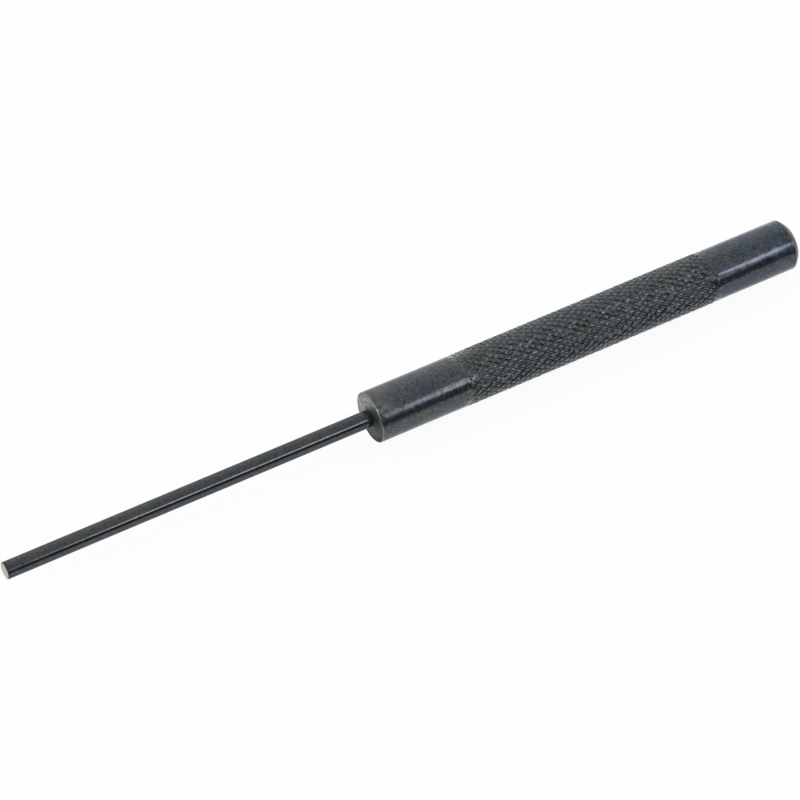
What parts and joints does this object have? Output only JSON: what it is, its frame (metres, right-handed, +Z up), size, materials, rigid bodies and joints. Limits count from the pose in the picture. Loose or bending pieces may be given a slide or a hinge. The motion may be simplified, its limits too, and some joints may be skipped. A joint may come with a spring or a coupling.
{
  "type": "pin punch",
  "caption": "Long parallel pin punch: a blackened round steel handle with a diamond-knurled grip holds a slender, straight drive pin with a flat working tip.",
  "frame": {"origin": "under the middle of the punch, on the plane that it lies on, which the two lowest rows of the knurl's tips touch", "axes": "+X along the punch from the working tip towards the struck end, +Z up from the plane that it lies on"},
  "size_m": [0.2, 0.0122, 0.0122],
  "materials": {
    "blackened_bar": "black oxide over turned and knurled bar, satin, lightly worn and spotted with brown",
    "blackened_pin": "smooth black oxide over ground wire, with the working face ground bright"
  },
  "bodies": {
    "root": {"handle": "blackened_bar", "drive_pin": "blackened_pin"}
  },
  "joints": []
}
